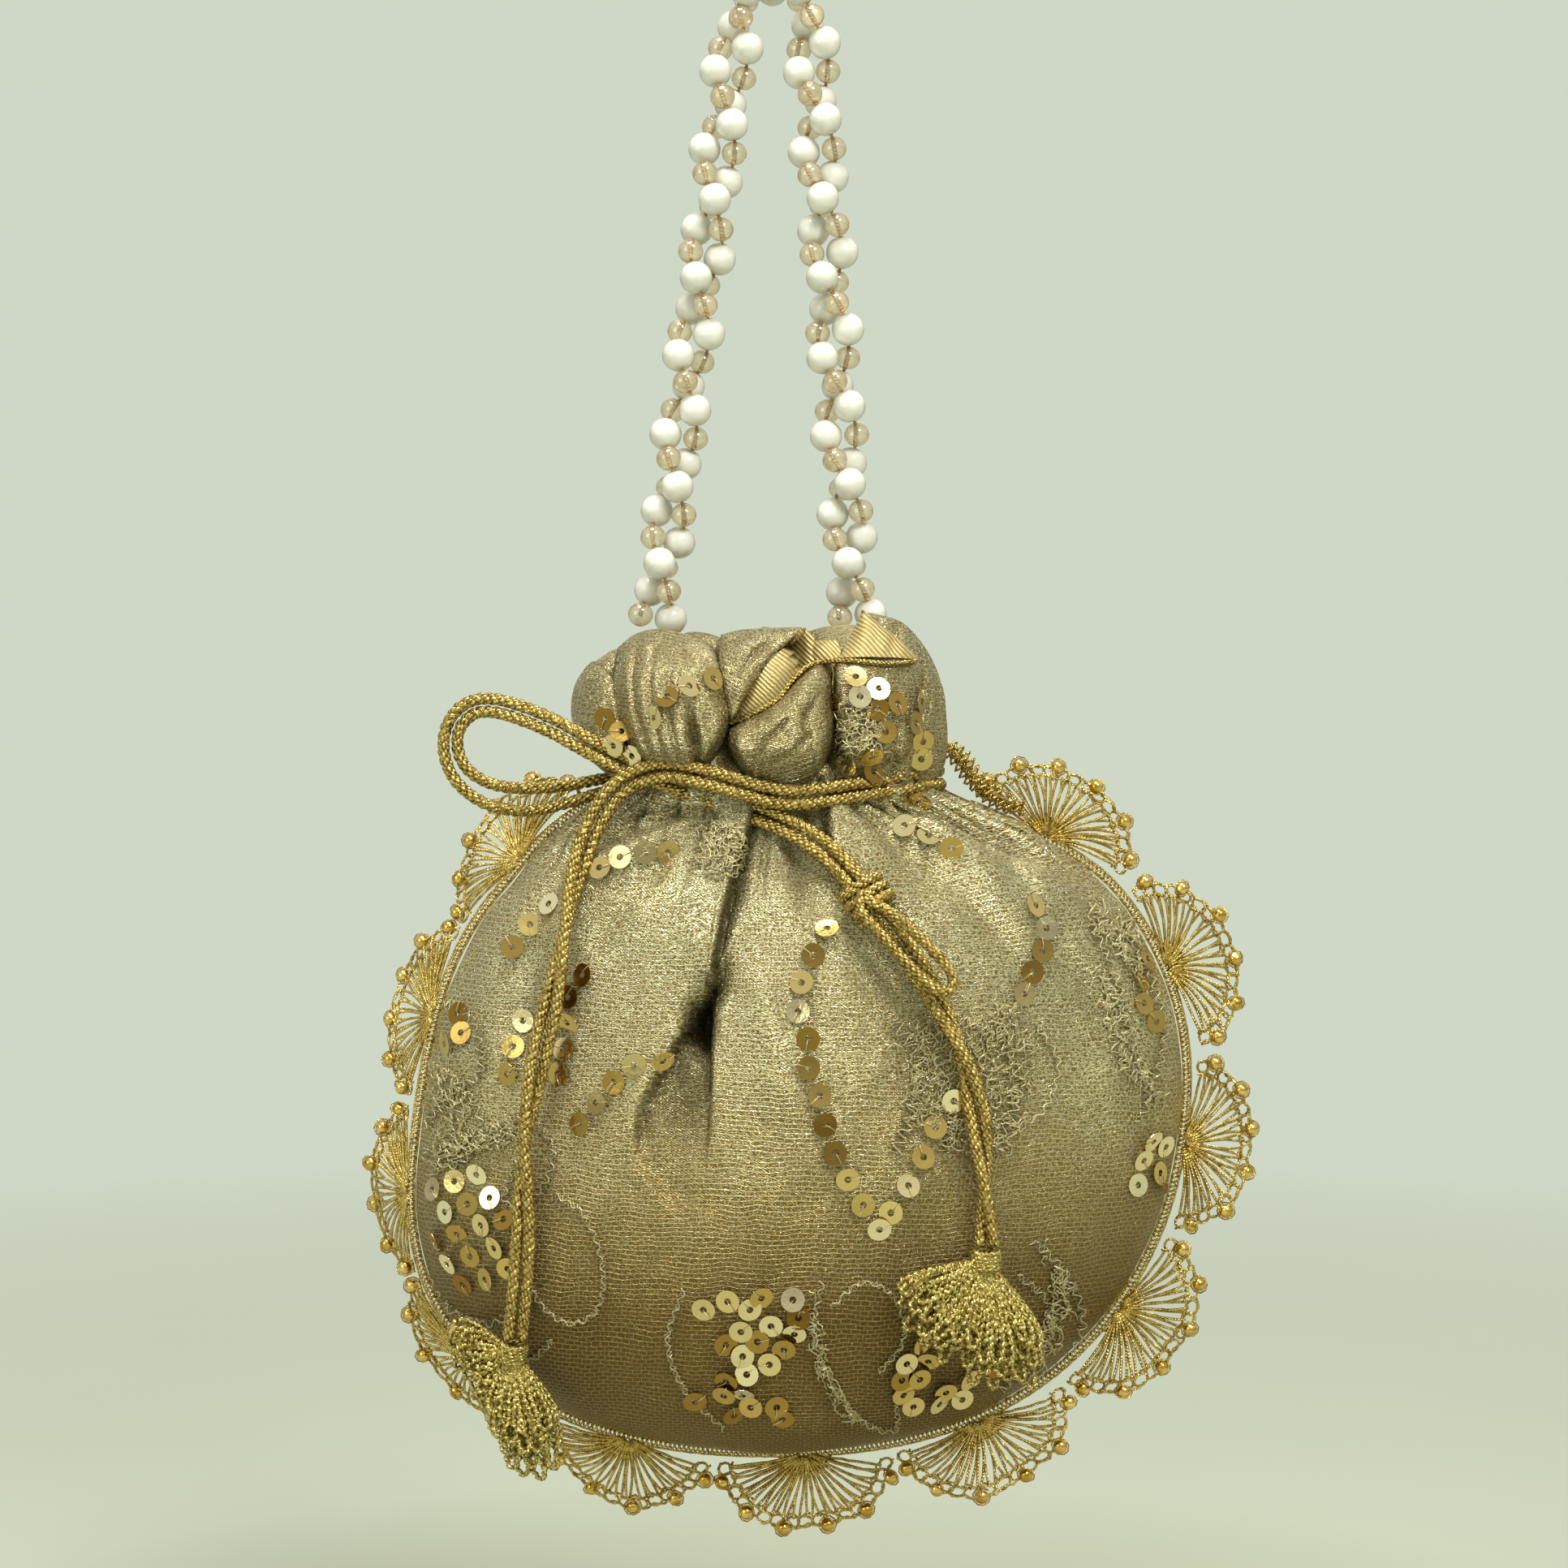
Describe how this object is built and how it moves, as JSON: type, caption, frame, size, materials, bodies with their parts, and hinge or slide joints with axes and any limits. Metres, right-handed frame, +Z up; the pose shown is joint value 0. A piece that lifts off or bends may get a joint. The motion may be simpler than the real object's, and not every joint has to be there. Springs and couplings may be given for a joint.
{
  "type": "potli bag",
  "caption": "Gathered drawstring pouch with a frilled mouth, a twisted bead handle, doubled tasselled cords and a scalloped lace edge, hung by its handle.",
  "frame": {"origin": "the hang point inside the top of the handle loop, where the bag rests on its hook", "axes": "+X to the bag's right as seen from the front, +Y to its back, +Z up"},
  "size_m": [0.2227, 0.0881, 0.3851],
  "materials": {
    "tissue": "champagne-gold metallic tissue cloth with silver-thread stitching and flat sequins",
    "satin": "gold satin with fine ribs",
    "braid": "two-ply metallic braid",
    "beads": "glossy white pearls and lustred champagne glass beads",
    "lace": "crocheted metallic gold thread",
    "cord": "twisted metallic gold cord",
    "tassel": "crocheted metallic gold chain loops"
  },
  "bodies": {
    "handle": {"bead_strand_a": "beads", "bead_strand_b": "beads"},
    "pouch": {"pouch_body": "tissue", "mouth_lining": "satin", "mouth_braid": "braid", "lace_trim": "lace", "drawcord_left_a": "cord", "drawcord_left_b": "cord", "drawcord_right_a": "cord", "drawcord_right_b": "cord", "slip_knot": "cord", "tassel_left": "tassel", "tassel_right": "tassel"}
  },
  "joints": [
    {"name": "handle_swing", "type": "hinge", "parent": "handle", "child": "pouch", "pos_m": [-0.0045, 0, -0.152], "axis": [1, 0, 0], "range_deg": [-60, 60]}
  ]
}
